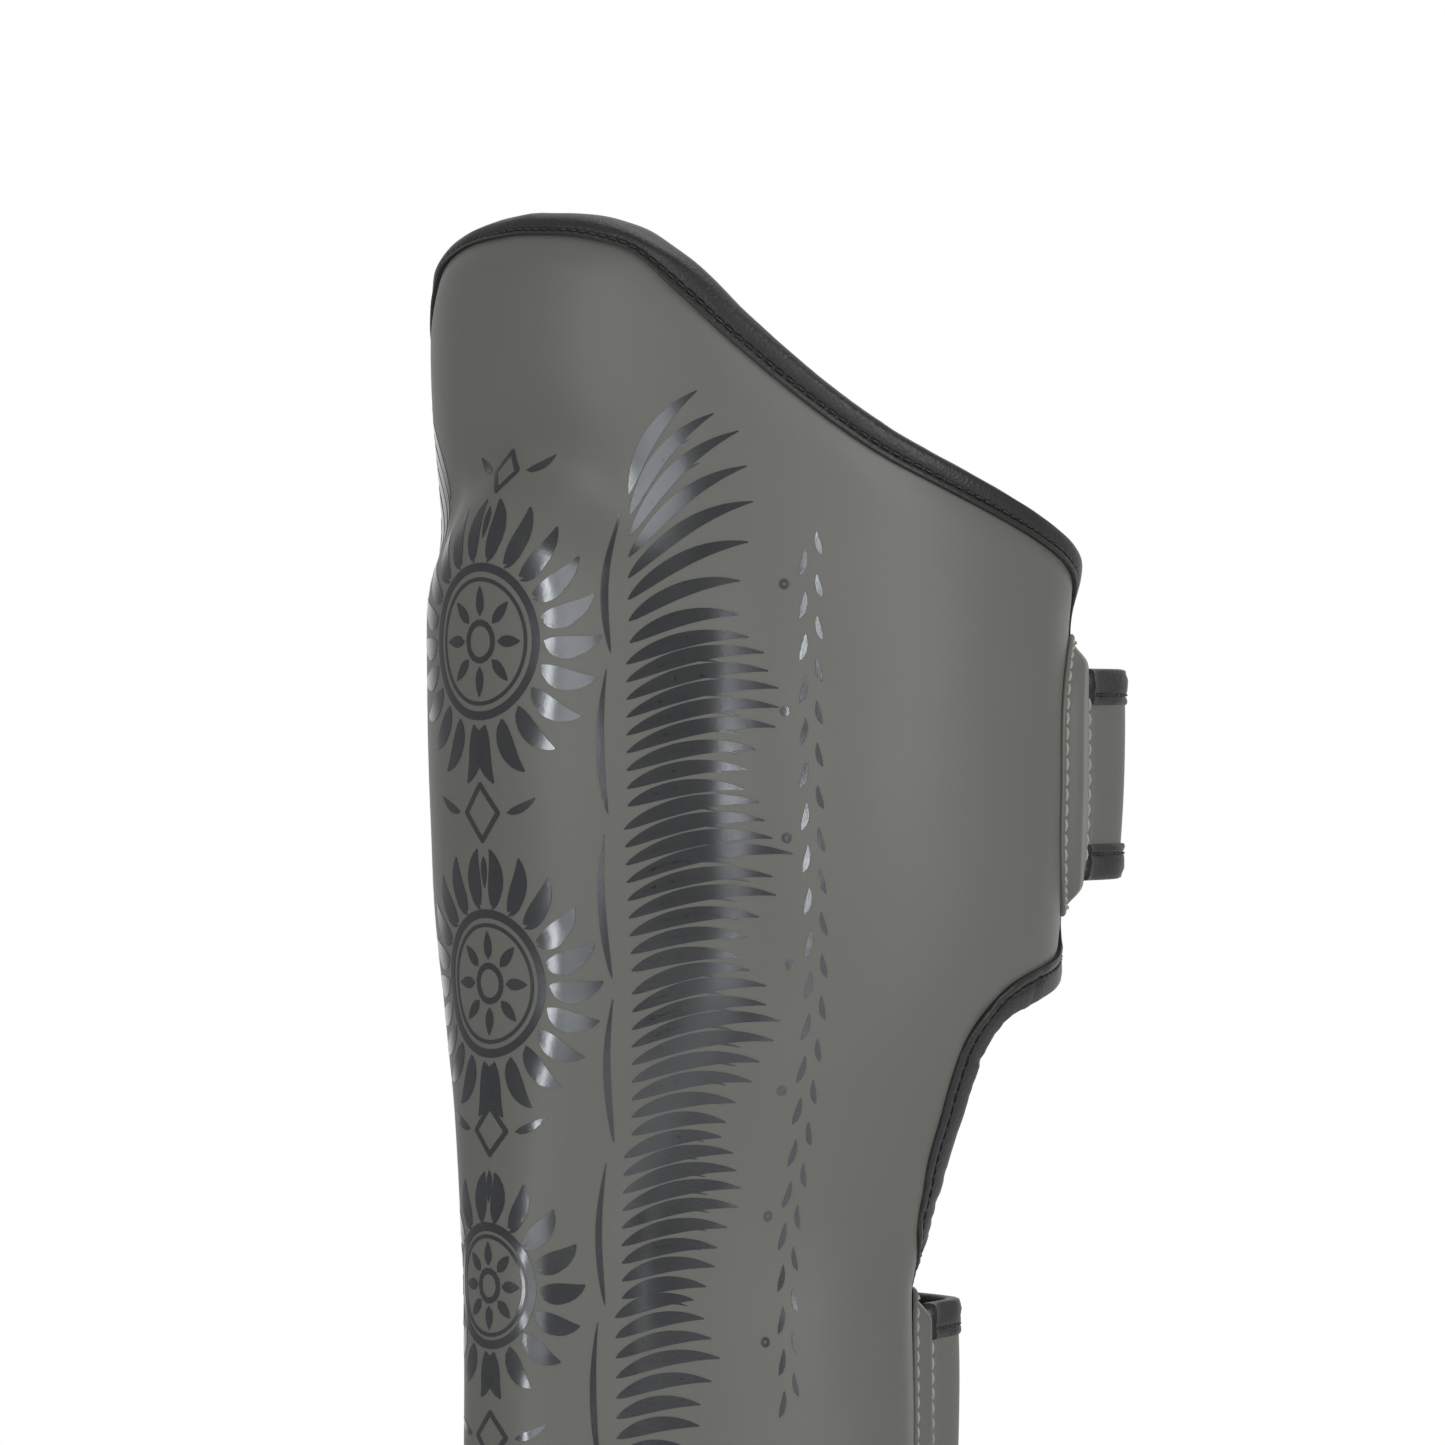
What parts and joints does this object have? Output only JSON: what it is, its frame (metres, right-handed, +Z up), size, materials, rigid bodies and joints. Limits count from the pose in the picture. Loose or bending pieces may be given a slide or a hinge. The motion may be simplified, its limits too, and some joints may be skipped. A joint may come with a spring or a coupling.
{
  "type": "shin instep guard",
  "caption": "Padded leather shin and instep guard: a C-shaped shell with a raised shin bar, a flared knee cup, bound edges, two closing straps behind the calf and a hinged instep pad.",
  "frame": {"origin": "on the axis of the calf inside the guard, level with the middle of the upper strap", "axes": "+Z up along the leg, -Y to the front of the shin, +X to the side of the guard that the picture shows"},
  "size_m": [0.1772, 0.3054, 0.4874],
  "materials": {
    "grey_leather": "matte",
    "black_leather": "satin",
    "black_elastic": "matte"
  },
  "bodies": {
    "root": {"shin_pad": "grey_leather", "shin_binding": "black_leather", "instep_pad": "grey_leather", "instep_binding": "black_leather", "ankle_link": "black_leather", "sole_strap": "black_elastic", "upper_strap": "grey_leather", "upper_strap_top_binding": "black_leather", "upper_strap_bottom_binding": "black_leather", "upper_strap_patch": "grey_leather", "lower_strap": "grey_leather", "lower_strap_top_binding": "black_leather", "lower_strap_bottom_binding": "black_leather", "lower_strap_patch": "grey_leather"}
  },
  "joints": []
}
